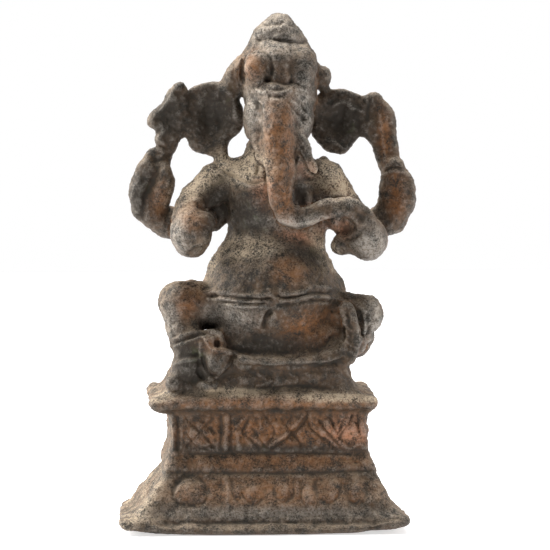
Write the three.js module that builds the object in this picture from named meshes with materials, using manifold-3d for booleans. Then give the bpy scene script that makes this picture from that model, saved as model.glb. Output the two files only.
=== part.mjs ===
// A small cast bronze Ganesh, seated on a moulded rectangular pedestal that is part of the same casting.
// Millimetres, +Z up. The figure looks along -Y and stands on Z = 0.
import * as THREE from "three";
import { mergeVertices } from "three/addons/utils/BufferGeometryUtils.js";
import Module from "manifold-3d";

const wasm = await Module();
wasm.setup();

// Driving sizes of the pedestal: half widths and half depths.
const BASE_HALF = [28.0, 18.8];
const LEDGE_HALF = [20.6, 12.2];
const DADO_HALF = [19.2, 10.7];
const FLANGE_HALF = [22.0, 13.4];
const DADO_X = -0.7;
const FLANGE_X = -1.9;
const BASE_X = -1.9;
const DADO_HEIGHTS = [15.4, 21.8];
const PETAL_HEIGHTS = [4.6, 10.2];
const FLANGE_TOP = 25.6;

// Driving sizes of the figure.
const CROWN_X = 1.5;
const CROWN_TIP = 99.4;
const BELLY = { centre: [0.1, -3.0, 44.8], half: [12.7, 9.9, 11.0] };
const BRONZE = 0x3a2c20;

// How far the pedestal is out of true, as it came from the mould.
const CORNER_LIFT = 1.3;
const RIM_THICKENING = 0.7;
const FLANGE_ARCH = 0.9;
const FRONT_BOW = 0.6;
const BACK_TAPER = 0.03;
const SOLE_INSET = 5;

// How far the carving stands out.
const RELIEF = 0.5;

// The moulding, from the foot up: height, middle, half width, half depth, share of the warp and taper.
const MOULDING = [
  [1.1, BASE_X, BASE_HALF[0], BASE_HALF[1], 1],
  [1.9, BASE_X + 0.1, BASE_HALF[0] - 1.9, BASE_HALF[1] - 1.7, 0.8],
  [3.2, BASE_X + 0.3, BASE_HALF[0] - 3.0, BASE_HALF[1] - 2.6, 0.4],
  [PETAL_HEIGHTS[0], BASE_X + 0.6, BASE_HALF[0] - 3.6, BASE_HALF[1] - 3.0, 0.15],
  [PETAL_HEIGHTS[1], DADO_X, LEDGE_HALF[0] + 0.2, LEDGE_HALF[1] + 0.2, 0],
  [11.2, DADO_X, LEDGE_HALF[0], LEDGE_HALF[1], 0],
  [12.8, DADO_X, LEDGE_HALF[0] - 0.5, LEDGE_HALF[1] - 0.5, 0],
  [14.4, DADO_X, DADO_HALF[0] + 0.2, DADO_HALF[1] + 0.2, 0],
  [DADO_HEIGHTS[0], DADO_X, DADO_HALF[0], DADO_HALF[1], 0],
  [DADO_HEIGHTS[1], DADO_X - 0.1, DADO_HALF[0], DADO_HALF[1], 0],
  [22.8, FLANGE_X + 0.6, FLANGE_HALF[0] - 1.9, FLANGE_HALF[1] - 1.7, 0],
  [23.6, FLANGE_X, FLANGE_HALF[0] - 0.5, FLANGE_HALF[1] - 0.5, 0],
  [24.5, FLANGE_X, FLANGE_HALF[0], FLANGE_HALF[1], 0],
  [FLANGE_TOP, FLANGE_X, FLANGE_HALF[0] - 0.5, FLANGE_HALF[1] - 0.6, 0],
];

// The seat above it, a low mound: height, left end, right end, half depth.
const SEAT = [
  [FLANGE_TOP - 0.4, -22.4, 18.4, 12.0],
  [26.6, -20.8, 16.6, 11.2],
  [28.2, -19.6, 15.5, 10.9],
  [30.6, -18.8, 15.0, 10.8],
  [36.0, -17.0, 14.6, 9.6],
];

const vector = (p) => new THREE.Vector3(...p);

// A closed geometry as a solid that can be joined and cut. A geometry wound inwards is turned round.
function solid(geometry) {
  const bare = new THREE.BufferGeometry().setAttribute(
    "position",
    (geometry.index ? geometry.toNonIndexed() : geometry).getAttribute("position"),
  );
  const merged = mergeVertices(bare, 1e-4);
  const triVerts = new Uint32Array(merged.index.array);
  const vertProperties = merged.attributes.position.array;
  const made = new wasm.Manifold(new wasm.Mesh({ numProp: 3, vertProperties, triVerts }));
  if (made.volume() > 0) return made;
  triVerts.reverse();
  return new wasm.Manifold(new wasm.Mesh({ numProp: 3, vertProperties, triVerts }));
}

const joined = (pieces) => pieces.reduce((whole, piece) => whole.add(piece));

// Rings of equal count stacked into one closed surface, with a fan to the middle at each end.
function ringStack(rings) {
  const count = rings[0].length;
  const positions = rings.flat();
  const index = [];
  rings.slice(1).forEach((_, level) => {
    for (let i = 0; i < count; i++) {
      const a = level * count + i;
      const b = level * count + ((i + 1) % count);
      index.push(a, b, b + count, a, b + count, a + count);
    }
  });
  [0, rings.length - 1].forEach((level, top) => {
    const middle = new THREE.Vector3();
    rings[level].forEach((p) => middle.addScaledVector(p, 1 / count));
    const centre = positions.push(middle) - 1;
    for (let i = 0; i < count; i++) {
      const a = level * count + i;
      const b = level * count + ((i + 1) % count);
      index.push(centre, ...(top ? [a, b] : [b, a]));
    }
  });
  return new THREE.BufferGeometry().setFromPoints(positions).setIndex(index);
}

// Flat facets lie inside the round they stand for, so every round is drawn this much fuller.
const fuller = (around) => 1 / Math.cos(Math.PI / around) ** 0.6;

// A rounded lump: centre, half sizes, and turns about X, Y and Z in degrees.
function lump(centre, halfSizes, turns = [0, 0, 0], around = 10, rows = 7) {
  const geometry = new THREE.SphereGeometry(fuller(around), around, rows);
  geometry.rotateX(Math.PI / 2).scale(...halfSizes);
  const [rx, ry, rz] = turns.map(THREE.MathUtils.degToRad);
  return solid(geometry.rotateX(rx).rotateY(ry).rotateZ(rz).translate(...centre));
}

// A limb: oval sections along a smooth curve, rounded over at both ends.
// A station is [x, y, z, half width, half depth], and the depth lies front to back.
function limb(stations, { around = 9, perSpan = 1 } = {}) {
  const route = new THREE.CatmullRomCurve3(stations.map((s) => vector(s.slice(0, 3))));
  const girth = new THREE.CatmullRomCurve3(
    stations.map(([, , , width, thick = width]) => new THREE.Vector3(width, thick, 0)),
  );
  const ring = (t, along, shrink) => {
    const forward = route.getTangent(t);
    const side = new THREE.Vector3(0, 1, 0).cross(forward).normalize();
    const front = new THREE.Vector3().crossVectors(forward, side);
    const { x: width, y: thick } = girth.getPoint(t);
    const middle = route.getPoint(t).addScaledVector(forward, along * Math.min(width, thick));
    return Array.from({ length: around }, (_, i) => {
      const angle = (2 * Math.PI * i) / around;
      return middle
        .clone()
        .addScaledVector(side, fuller(around) * shrink * width * Math.cos(angle))
        .addScaledVector(front, fuller(around) * shrink * thick * Math.sin(angle));
    });
  };
  const steps = perSpan * (stations.length - 1);
  const ends = [70, 35].map(THREE.MathUtils.degToRad);
  const start = ends.map((angle) => ring(0, -Math.sin(angle), Math.cos(angle)));
  const middle = Array.from({ length: steps + 1 }, (_, i) => ring(i / steps, 0, 1));
  const finish = ends.reverse().map((angle) => ring(1, Math.sin(angle), Math.cos(angle)));
  return solid(ringStack([...start, ...middle, ...finish]));
}

// A flat plate with a chamfered edge, cut to an outline of [x, z] points and standing upright at depth y.
function plate(outline, y, thickness, edge = 0.6) {
  const shape = new THREE.Shape(outline.map(([x, z]) => new THREE.Vector2(x, z)));
  const geometry = new THREE.ExtrudeGeometry(shape, {
    depth: thickness - 2 * edge,
    bevelSize: edge,
    bevelThickness: edge,
    bevelOffset: -edge,
    bevelSegments: 1,
  });
  return solid(geometry.rotateX(Math.PI / 2).translate(0, y + thickness / 2 - edge, 0));
}

// A rounded rectangle as a ring of points, counter-clockwise from the right-hand end of the front.
function roundedRectangle(halfWidth, halfDepth, radius) {
  const corners = [[1, -1], [1, 1], [-1, 1], [-1, -1]];
  const arcs = corners.map(([sx, sy], quarter) =>
    [0, 1].map((part) => {
      const angle = ((quarter - 1 + part) * Math.PI) / 2;
      return new THREE.Vector2(
        sx * (halfWidth - radius) + radius * Math.cos(angle),
        sy * (halfDepth - radius) + radius * Math.sin(angle),
      );
    }),
  );
  return arcs.flatMap((arc, quarter) => {
    const next = arcs[(quarter + 1) % arcs.length][0];
    const steps = quarter % 2 ? 6 : 2;
    const side = Array.from({ length: steps - 1 }, (_, i) => arc[1].clone().lerp(next, (i + 1) / steps));
    return [...arc, ...side];
  });
}

// How far the front stands out at x, more in the middle than at the corners.
const bow = (x, half) => FRONT_BOW * (1 - (x / half) ** 2);

// One course of the pedestal. Front and back are bowed, the back can be a little narrower than the front,
// and the height follows the warp, which has died away by the back.
function course(middle, halfWidth, halfDepth, radius, height, taper = 0) {
  return roundedRectangle(halfWidth, halfDepth, radius).map(({ x, y }) => {
    const out = Math.sign(y) * bow(x, halfWidth) * Math.abs(y / halfDepth) ** 8;
    const backward = (y / halfDepth + 1) / 2;
    return new THREE.Vector3(
      middle + x * (1 - taper * backward),
      y + out,
      height(x / halfWidth, 1 - backward),
    );
  });
}

function pedestal() {
  const lift = (u, forward) => CORNER_LIFT * forward * u ** 4;
  const [baseWidth, baseDepth] = BASE_HALF;
  const sole = course(BASE_X, baseWidth - SOLE_INSET, baseDepth - SOLE_INSET, 1, () => 0, BACK_TAPER);
  const rim = course(BASE_X, baseWidth - 0.2, baseDepth - 0.2, 1, (u, forward) => 0.15 + lift(u, forward), BACK_TAPER);
  const courses = MOULDING.map(([height, middle, width, depth, share]) => {
    const arch = height > DADO_HEIGHTS[1] + 2 ? FLANGE_ARCH : 0;
    const warp = (u, forward) =>
      share * (lift(u, forward) + RIM_THICKENING * forward * u ** 4) + arch * forward * (1 - u * u);
    return course(middle, width, depth, 0.7, (u, forward) => height + warp(u, forward), share * BACK_TAPER);
  });
  return solid(ringStack([sole, rim, ...courses]));
}

function seat() {
  return solid(
    ringStack(
      SEAT.map(([height, left, right, depth]) =>
        course((left + right) / 2, (right - left) / 2, depth, 2.5, () => height),
      ),
    ),
  );
}

// A raised stroke on the front of the dado, between two points given as shares of its width and height.
function stroke([u0, v0], [u1, v1], width = 0.8) {
  const [low, high] = DADO_HEIGHTS;
  const place = (u, v) => new THREE.Vector2(DADO_X + u * DADO_HALF[0], low + v * (high - low));
  const from = place(u0, v0);
  const to = place(u1, v1);
  const middle = from.clone().lerp(to, 0.5);
  const face = -DADO_HALF[1] - bow(middle.x - DADO_X, DADO_HALF[0]);
  const geometry = new THREE.BoxGeometry(from.distanceTo(to), 2, width);
  geometry.rotateY(-Math.atan2(to.y - from.y, to.x - from.x));
  return solid(geometry.translate(middle.x, face + 1 - RELIEF, middle.y));
}

// The dado is carved with a lozenge, upright bars, crossed strokes and a zigzag.
function dadoCarving() {
  const uprights = [-0.95, -0.84, -0.42, -0.31].map((u) => stroke([u, 0.02], [u, 0.98]));
  const lozenge = [[-0.78, 0.5], [-0.66, 0.94], [-0.54, 0.5], [-0.66, 0.06]];
  const outline = lozenge.map((corner, i) => stroke(corner, lozenge[(i + 1) % lozenge.length]));
  const crosses = [-0.13, 0.13, 0.36].flatMap((u) => [
    stroke([u - 0.11, 0.05], [u + 0.11, 0.95]),
    stroke([u - 0.11, 0.95], [u + 0.11, 0.05]),
  ]);
  const zigzag = [[0.55, 0.95], [0.66, 0.08], [0.76, 0.95], [0.86, 0.08], [0.95, 0.95]];
  const folds = zigzag.slice(1).map((point, i) => stroke(zigzag[i], point));
  const [low, high] = DADO_HEIGHTS;
  const boss = lump([DADO_X - 0.66 * DADO_HALF[0], -DADO_HALF[1] - 0.3, (low + high) / 2], [1, 0.7, 1], [0, 0, 0], 8, 5);
  return [...uprights, ...outline, ...crosses, ...folds, boss];
}

// A row of petals on the sloping foot: an oval one at the left, then a row of narrow ones.
function petals() {
  const [low, high] = PETAL_HEIGHTS;
  const lowDepth = BASE_HALF[1] - 3.0;
  const highDepth = LEDGE_HALF[1] + 0.2;
  const lean = -THREE.MathUtils.radToDeg(Math.atan2(lowDepth - highDepth, high - low));
  const petal = (x, halfWidth, halfHeight) => {
    const front = -(lowDepth + highDepth) / 2 - bow(x - BASE_X, BASE_HALF[0] - 5);
    return lump([x, front, (low + high) / 2], [halfWidth, RELIEF, halfHeight], [lean, 0, 0], 8, 5);
  };
  const narrow = Array.from({ length: 6 }, (_, i) => petal(-8.4 + 4.8 * i, 1.2, 2.5));
  return [petal(-16.6, 3.9, 2.7), ...narrow];
}

function torso() {
  const trunkOfBody = limb(
    [
      [0.4, 0.6, 40.5, 14.0, 8.8],
      [0.6, 0.5, 46.0, 14.0, 8.6],
      [0.4, 0.2, 50.5, 12.0, 8.0],
      [1.0, 0.2, 54.5, 9.7, 7.4],
      [1.4, 0.0, 58.0, 9.5, 7.0],
      [1.3, -0.2, 64.0, 10.4, 6.8],
      [1.3, -0.2, 69.5, 7.6, 5.8],
      [1.5, -0.4, 75.0, 5.2, 5.0],
    ],
    { around: 14 },
  );
  const belly = lump(BELLY.centre, BELLY.half, [0, 0, 0], 18, 12);
  const upperBelly = lump([0.3, -2.8, 50.0], [10.6, 8.4, 6.3], [0, 0, 0], 12, 7);
  const breast = lump([0.6, -1.7, 64.6], [9.0, 6.4, 7.0], [0, 0, 0], 12, 7);
  return [trunkOfBody, belly, upperBelly, breast];
}

// Two cords run round the front of the belly.
function belt() {
  const [x, y, z] = BELLY.centre;
  const swollen = () => lump(BELLY.centre, BELLY.half.map((half) => half + RELIEF), [0, 0, 0], 18, 12);
  return [45.7, 44.1].map((height) => {
    const slab = new THREE.BoxGeometry(2 * BELLY.half[0], BELLY.half[1] * 1.4, 0.8);
    return swollen().intersect(solid(slab.translate(x, y - BELLY.half[1] * 0.8, height)));
  });
}

function crown() {
  const profile = [
    [0, 86.0],
    [6.7, 88.0],
    [6.8, 91.0],
    [6.3, 92.6],
    [5.8, 93.9],
    [5.3, 94.1],
    [5.2, 94.6],
    [4.4, 96.2],
    [3.7, 97.1],
    [3.3, 97.3],
    [2.3, 98.6],
    [0, CROWN_TIP],
  ];
  const geometry = new THREE.LatheGeometry(
    profile.map(([r, z]) => new THREE.Vector2(r, z)),
    14,
  );
  return solid(geometry.rotateX(Math.PI / 2).scale(1, 0.92, 1).translate(CROWN_X, 0.4, 0));
}

function head() {
  return [
    lump([1.8, -1.2, 84.2], [7.3, 8.0, 9.2], [0, 0, 0], 14, 9),
    crown(),
    lump([1.6, -4.6, 89.6], [4.6, 3.6, 3.8]),
    lump([-2.6, -6.0, 89.0], [2.9, 2.5, 3.5], [-12, 0, 0]),
    lump([6.0, -5.2, 89.0], [2.9, 2.6, 4.0], [-12, 0, 0]),
    lump([5.4, 0.0, 88.4], [3.8, 5.0, 5.2]),
    lump([10.1, 0.8, 86.6], [1.7, 2.2, 2.5], [0, 0, 0], 8, 5),
    lump([-2.3, -4.0, 79.0], [3.2, 4.2, 5.6]),
    lump([5.2, -4.0, 79.2], [3.0, 4.2, 5.2]),
    limb([
      [-1.8, 0.4, 92.6, 2.0],
      [-4.4, 0.6, 89.8, 2.0],
      [-6.4, 1.0, 87.2, 2.4],
      [-7.2, 1.2, 84.8, 2.5],
    ]),
  ];
}

function trunk() {
  return limb(
    [
      [1.3, -6.2, 85.2, 3.9, 3.2],
      [1.2, -8.2, 81.0, 3.5, 3.4],
      [1.1, -9.2, 76.5, 3.3, 3.4],
      [1.2, -9.8, 71.5, 3.05, 3.3],
      [1.4, -10.2, 66.5, 2.4, 2.9],
      [1.5, -10.3, 63.4, 2.2, 2.6],
      [2.6, -10.4, 61.2, 2.1, 2.4],
      [5.0, -10.6, 60.2, 1.95, 2.3],
      [7.6, -10.7, 60.9, 1.85, 2.2],
      [10.2, -10.6, 62.1, 1.8, 2.1],
      [13.0, -10.2, 62.4, 1.8, 2.1],
      [15.6, -9.6, 61.6, 2.0, 2.2],
      [17.8, -9.0, 59.4, 2.4, 2.5],
      [18.6, -8.6, 56.6, 2.8, 2.8],
    ],
    { around: 10, perSpan: 2 },
  );
}

// One tusk is whole. The other is a stub.
function tusks() {
  const whole = limb(
    [
      [4.6, -8.2, 76.2, 1.2, 1.3],
      [6.4, -9.6, 72.4, 1.1, 1.2],
      [8.0, -9.6, 69.4, 0.75, 0.8],
    ],
    { around: 7 },
  );
  const stub = limb(
    [
      [-3.0, -7.0, 75.4, 1.1, 1.3],
      [-1.9, -8.6, 71.4, 1.1, 1.3],
    ],
    { around: 7 },
  );
  return [whole, stub];
}

// The ears are rounded plates with a dished front.
function ears() {
  const right = [
    [-16.4, 83.2], [-14.5, 85.1], [-12.1, 85.6], [-9.8, 85.5], [-6.0, 84.3], [-4.2, 81.2], [-4.6, 77.7],
    [-5.7, 75.9], [-8.1, 74.0], [-8.3, 72.2], [-11.0, 71.5], [-13.2, 71.9], [-14.9, 72.4], [-16.0, 74.0],
    [-16.9, 76.5], [-17.3, 80.1],
  ];
  const left = [
    [8.0, 83.6], [10.9, 84.7], [13.9, 84.1], [16.5, 83.5], [18.3, 82.5], [19.5, 80.1], [18.7, 77.0],
    [17.1, 74.9], [15.6, 72.6], [14.6, 71.7], [12.6, 71.9], [10.5, 72.6], [9.3, 73.9], [8.3, 75.4],
    [7.0, 78.5], [7.0, 81.3],
  ];
  const dished = (outline, centre, half) =>
    plate(outline, 1.2, 2.8, 0.7).subtract(lump(centre, half));
  const tab = limb([
    [-9.6, 0.8, 73.4, 1.3],
    [-9.4, 0.4, 69.6, 1.7],
  ]);
  return [
    dished(right, [-11.2, -2.4, 78.6], [4.6, 3.4, 5.6]),
    dished(left, [13.0, -2.4, 78.0], [4.0, 3.4, 4.6]),
    tab,
  ];
}

// Held high in the right back hand: an axe with a hooked blade.
function axe() {
  const outline = [
    [-17.4, 86.2], [-18.6, 85.5], [-19.8, 84.0], [-20.9, 82.0], [-22.5, 80.4], [-23.7, 79.3], [-23.9, 77.7],
    [-23.1, 76.7], [-22.0, 76.8], [-22.1, 75.6], [-22.5, 74.5], [-21.8, 73.4], [-23.9, 72.6], [-24.3, 71.0],
    [-23.5, 69.6], [-19.2, 69.6], [-18.8, 72.0], [-17.8, 73.7], [-16.9, 75.2], [-16.2, 78.0], [-15.9, 81.4],
    [-16.1, 84.2], [-16.4, 85.5],
  ];
  return plate(outline, 0.4, 2.6, 0.6);
}

// Held high in the left back hand: a looped cord, cast as one broad band.
function noose() {
  const outline = [
    [18.8, 83.5], [19.8, 83.9], [21.1, 83.5], [22.8, 81.8], [24.1, 79.7], [24.7, 77.8], [24.4, 75.2],
    [24.7, 73.1], [25.1, 71.4], [25.8, 70.1], [25.3, 68.4], [21.6, 68.0], [20.3, 71.4], [19.8, 73.1],
    [18.6, 75.0], [17.5, 75.4], [17.4, 78.1], [17.6, 80.3], [18.0, 82.3],
  ];
  return plate(outline, 0.5, 2.8, 0.7);
}

// The raised pair of arms, worn smooth.
function backArms() {
  const right = limb([
    [-11.5, 0.8, 60.5, 3.6],
    [-16.6, 1.4, 58.0, 3.2],
    [-20.8, 1.0, 58.8, 3.1],
    [-24.3, 0.4, 61.4, 2.9],
    [-24.9, 0.0, 64.8, 2.6],
    [-23.9, -0.2, 68.8, 2.5],
  ]);
  const rightFingers = limb([
    [-21.8, -0.8, 62.0, 2.1],
    [-21.0, -1.0, 65.8, 2.5],
    [-21.0, -0.8, 68.6, 2.0],
  ]);
  const left = limb([
    [12.5, 1.0, 60.5, 3.6],
    [18.6, 1.6, 57.2, 3.4],
    [23.2, 1.0, 59.0, 3.5],
    [24.8, 0.4, 62.8, 3.8],
    [24.6, 0.0, 66.2, 3.5],
    [24.1, -0.4, 68.6, 2.4],
  ]);
  const leftThumb = lump([24.3, -1.6, 69.9], [1.9, 1.7, 1.3], [0, 10, 0], 8, 6);
  return [right, rightFingers, left, leftThumb];
}

// The lowered pair of arms. Their hands come forward as rounded fists.
function frontArms() {
  const right = limb([
    [-6.0, 0.0, 67.4, 4.0],
    [-10.4, -0.8, 66.5, 3.8],
    [-14.0, -2.2, 63.2, 3.8],
    [-15.5, -4.0, 59.6, 3.9],
  ]);
  const rightFist = lump([-15.6, -6.8, 57.2], [4.1, 5.2, 4.8], [0, 0, 12], 12, 8);
  const rightFingers = lump([-12.9, -8.6, 59.6], [1.9, 2.2, 1.9], [0, 20, 0], 8, 5);
  const left = limb([
    [6.0, 0.2, 66.2, 4.6],
    [10.6, -0.4, 65.8, 5.1],
    [13.2, -1.6, 61.8, 4.2],
    [16.8, -3.2, 57.6, 3.8],
  ]);
  const leftFist = lump([18.4, -6.8, 55.8], [4.0, 4.6, 4.1], [0, 0, -15], 12, 8);
  const leftPalm = limb([
    [17.6, -5.0, 54.6, 2.0],
    [13.4, -5.2, 54.6, 2.1],
  ]);
  const clasp = lump([10.4, 0.0, 70.7], [1.0, 1.0, 0.8], [0, 0, 0], 7, 4);
  return [right, rightFist, rightFingers, left, leftFist, leftPalm, clasp];
}

function legs() {
  const rightThigh = limb([
    [-5.0, -0.5, 41.5, 5.4],
    [-11.0, -2.4, 42.4, 4.8],
    [-16.0, -4.0, 43.4, 4.2],
  ]);
  const rightKnee = lump([-17.6, -4.4, 43.4], [4.4, 4.8, 4.3], [0, 0, 0], 12, 8);
  const rightCalf = limb([
    [-17.2, -4.8, 40.6, 3.8],
    [-16.4, -6.2, 37.0, 3.5],
    [-15.6, -7.2, 34.6, 3.6],
  ]);
  const rightShin = limb([
    [-16.6, -8.0, 35.6, 2.9, 2.4],
    [-12.0, -9.6, 36.0, 2.9, 2.4],
  ]);
  const rightFoot = limb([
    [-11.6, -10.0, 36.4, 2.3, 2.0],
    [-10.6, -11.2, 34.2, 2.8, 2.0],
    [-10.9, -11.8, 31.6, 1.8, 1.5],
  ]);
  const leftThigh = limb([
    [5.0, -0.5, 41.0, 5.4],
    [11.5, -2.6, 41.2, 4.9],
    [17.0, -4.6, 41.2, 3.6],
  ]);
  const leftKnee = lump([18.4, -5.4, 41.0], [3.3, 4.0, 3.9], [0, 0, 0], 12, 8);
  const haunch = lump([16.0, -1.4, 36.4], [4.4, 5.6, 4.4], [0, 25, 0]);
  const leftShin = limb([
    [16.0, -7.4, 35.4, 2.2],
    [12.0, -9.8, 33.4, 1.8],
    [4.0, -11.4, 32.5, 1.6],
    [-6.0, -11.6, 32.7, 1.6],
  ]);
  const lap = lump([2.0, -5.0, 37.0], [15.0, 5.6, 3.6], [0, 0, 0], 12, 5);
  return [rightThigh, rightKnee, rightCalf, rightShin, rightFoot, leftThigh, leftKnee, haunch, leftShin, lap];
}

// The end of the sash hangs over the left thigh.
function sash() {
  return limb([
    [14.0, -10.0, 42.6, 1.4, 1.0],
    [15.3, -10.4, 40.0, 1.6, 1.1],
    [15.5, -10.6, 36.4, 1.7, 1.1],
    [14.6, -10.4, 32.6, 1.4, 1.0],
  ]);
}

// The little rat that crouches under the right foot.
function rat() {
  return [
    lump([-16.2, -8.8, 31.4], [3.4, 3.4, 3.2], [0, 10, 0]),
    lump([-19.0, -10.6, 28.6], [1.9, 1.8, 1.6], [0, 0, 20], 8, 5),
    lump([-12.4, -12.0, 28.2], [1.7, 1.3, 1.2], [0, 0, 0], 8, 5),
  ];
}

function casting() {
  return joined([
    pedestal(),
    ...dadoCarving(),
    ...petals(),
    seat(),
    ...torso(),
    ...belt(),
    ...head(),
    trunk(),
    ...tusks(),
    ...ears(),
    axe(),
    noose(),
    ...backArms(),
    ...frontArms(),
    ...legs(),
    sash(),
    ...rat(),
  ]);
}

// A solid as a named mesh, stood on Z = 0 with its box centred over the origin.
function bronze(name, whole) {
  const { vertProperties, triVerts } = whole.getMesh();
  const geometry = new THREE.BufferGeometry()
    .setAttribute("position", new THREE.BufferAttribute(vertProperties, 3))
    .setIndex(new THREE.BufferAttribute(triVerts, 1));
  geometry.computeBoundingBox();
  const { min, max } = geometry.boundingBox;
  geometry.translate(-(min.x + max.x) / 2, -(min.y + max.y) / 2, -min.z);
  geometry.computeVertexNormals();
  const material = new THREE.MeshStandardMaterial({
    color: BRONZE,
    roughness: 0.5,
    metalness: 0.7,
  });
  const mesh = new THREE.Mesh(geometry, material);
  mesh.name = name;
  return mesh;
}

const ganesh = new THREE.Group();
ganesh.add(bronze("ganesh_casting", casting()));

export default ganesh;
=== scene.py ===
# %% [markdown]
# # A small cast bronze Ganesh
#
# The object is a household bronze about ten centimetres tall. Figure and pedestal were modelled in wax,
# packed in clay and cast in one pour. Years of handling rounded every edge, and a dark brown skin has grown
# over the metal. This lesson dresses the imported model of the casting: it copies the solid, turns its flat
# facets into a cast skin, chases the finer lines into it, and gives it a patina.

import math

import bpy
import numpy as np
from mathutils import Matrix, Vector


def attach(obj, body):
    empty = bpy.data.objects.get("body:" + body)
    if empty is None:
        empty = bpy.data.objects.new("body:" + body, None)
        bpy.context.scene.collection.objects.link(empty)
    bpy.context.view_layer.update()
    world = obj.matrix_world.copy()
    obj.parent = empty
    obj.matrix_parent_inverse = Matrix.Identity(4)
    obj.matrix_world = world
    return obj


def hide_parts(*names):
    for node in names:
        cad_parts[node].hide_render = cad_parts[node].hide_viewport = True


MM = 0.001

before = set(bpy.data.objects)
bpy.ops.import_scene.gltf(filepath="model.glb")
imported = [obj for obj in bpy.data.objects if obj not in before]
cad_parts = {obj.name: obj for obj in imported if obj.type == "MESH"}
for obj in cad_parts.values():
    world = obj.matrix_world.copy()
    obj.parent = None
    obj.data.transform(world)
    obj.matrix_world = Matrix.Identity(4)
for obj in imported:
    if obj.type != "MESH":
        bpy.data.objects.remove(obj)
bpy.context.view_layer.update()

# %% [markdown]
# ## Where the picture was taken from
#
# A view is a direction to look from. It tells where each point of the bronze shows, so the same tool can chase
# lines into the front, which is laid out on the picture's own pixels, and into the sides and back, which are
# laid out in millimetres. A long lens far away shows the figure almost without perspective.

# %% Views
PICTURE_PIXELS = 550
PIXEL = 0.19474
AIM = (1.51, 0.0, 48.25)
DISTANCE = 800.0
AZIMUTH = -3.0
ELEVATION = 5.6


class View:
    """Looking at the bronze from an azimuth and an elevation in degrees. Azimuth 0 looks along +Y."""

    def __init__(self, azimuth, elevation=0.0, aim=(0, 0, 0), distance=math.inf, unit=(1, 1), centre=(0, 0)):
        a, e = math.radians(azimuth), math.radians(elevation)
        self.back = np.array([math.sin(a) * math.cos(e), -math.cos(a) * math.cos(e), math.sin(e)])
        self.right = np.array([math.cos(a), math.sin(a), 0.0])
        self.up = np.cross(self.back, self.right)
        self.aim = np.array(aim, float)
        self.distance = distance
        self.unit = np.array(unit, float)
        self.centre = np.array(centre, float)

    def nearness(self, points):
        return (points - self.aim) @ self.back

    def flat(self, points):
        """Where points show, in millimetres across and up on the plane through the aim."""
        offset = points - self.aim
        scale = 1 / (1 - self.nearness(points) / self.distance)
        return np.stack([offset @ self.right * scale, offset @ self.up * scale], axis=1)

    def layout(self, spots):
        """Spots in this view's own coordinates, in the same millimetres."""
        return (np.array(spots, float) - self.centre) * self.unit


FRONT = View(AZIMUTH, ELEVATION, AIM, DISTANCE, (PIXEL, -PIXEL), (PICTURE_PIXELS / 2, PICTURE_PIXELS / 2))
BACK = View(180)
LEFT_SIDE = View(-90)
RIGHT_SIDE = View(90)


def make_camera(view):
    data = bpy.data.cameras.new("camera")
    data.lens = data.sensor_width * view.distance / (PICTURE_PIXELS * PIXEL)
    camera = bpy.data.objects.new("camera", data)
    camera.location = Vector(view.aim + view.back * view.distance) * MM
    camera.rotation_euler = Vector(-view.back).to_track_quat("-Z", "Y").to_euler()
    bpy.context.scene.collection.objects.link(camera)
    bpy.context.scene.camera = camera
    return camera


camera = make_camera(FRONT)
print(f"Camera lens {camera.data.lens:.1f} mm on a {camera.data.sensor_width:.0f} mm sensor")

# %% [markdown]
# ## The skin as arrays
#
# Chasing a line means moving the points near it, and there are some two hundred thousand of them. NumPy moves
# them all at once. The class below keeps the points and which corner of which face uses them, and it can
# average values from faces to points and back, which is all that smoothing needs.

# %% Skin
VOXEL = 0.27


def read(collection, name, width, kind=np.float32):
    values = np.empty(len(collection) * width, kind)
    collection.foreach_get(name, values)
    return values.reshape(-1, width) if width > 1 else values


def unit(vectors):
    return vectors / np.maximum(np.linalg.norm(vectors, axis=1, keepdims=True), 1e-12)


def applied(piece, kind, **settings):
    """Runs one modifier on a piece and keeps the result as its mesh."""
    modifier = piece.modifiers.new(kind.title(), kind)
    for name, value in settings.items():
        setattr(modifier, name, value)
    shown = piece.evaluated_get(bpy.context.evaluated_depsgraph_get())
    mesh = bpy.data.meshes.new_from_object(shown)
    piece.modifiers.clear()
    piece.data = mesh
    return mesh


class Skin:
    """The surface of a piece, in millimetres."""

    def __init__(self, piece):
        self.mesh = piece.data
        self.points = read(self.mesh.vertices, "co", 3).astype(float) / MM
        self.corner_point = read(self.mesh.loops, "vertex_index", 1, np.int32)
        counts = read(self.mesh.polygons, "loop_total", 1, np.int32)
        starts = np.cumsum(counts) - counts
        self.corner_face = np.repeat(np.arange(len(counts)), counts)
        following = np.arange(len(self.corner_point)) + 1
        following[starts + counts - 1] = starts
        self.next_point = self.corner_point[following]
        self.corners_of_face = counts[:, None]
        self.corners_of_point = np.bincount(self.corner_point, minlength=len(self.points))[:, None]

    def gather(self, values, index, size):
        return np.stack([np.bincount(index, column, size) for column in values.T], axis=1)

    def to_faces(self, corner_values):
        return self.gather(corner_values, self.corner_face, len(self.corners_of_face)) / self.corners_of_face

    def to_points(self, corner_values):
        return self.gather(corner_values, self.corner_point, len(self.points)) / self.corners_of_point

    def face_normals(self):
        edges = np.cross(self.points[self.corner_point], self.points[self.next_point])
        return unit(self.to_faces(edges))

    def normals(self):
        return unit(self.to_points(self.face_normals()[self.corner_face]))

    def blurred(self, values, rounds):
        """Point values, each averaged with those of the faces round it."""
        for _ in range(rounds):
            values = self.to_points(self.to_faces(values[self.corner_point])[self.corner_face])
        return values

    def keep(self):
        self.mesh.vertices.foreach_set("co", (self.points * MM).astype(np.float32).ravel())
        self.mesh.update()


bronze = bpy.data.objects.new("ganesh_bronze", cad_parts["ganesh_casting"].data.copy())
bpy.context.scene.collection.objects.link(bronze)
bronze.data.materials.clear()
applied(bronze, "REMESH", mode="VOXEL", voxel_size=VOXEL * MM)
skin = Skin(bronze)
print(f"{len(skin.points)} points on a skin of {VOXEL} mm squares")

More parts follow.
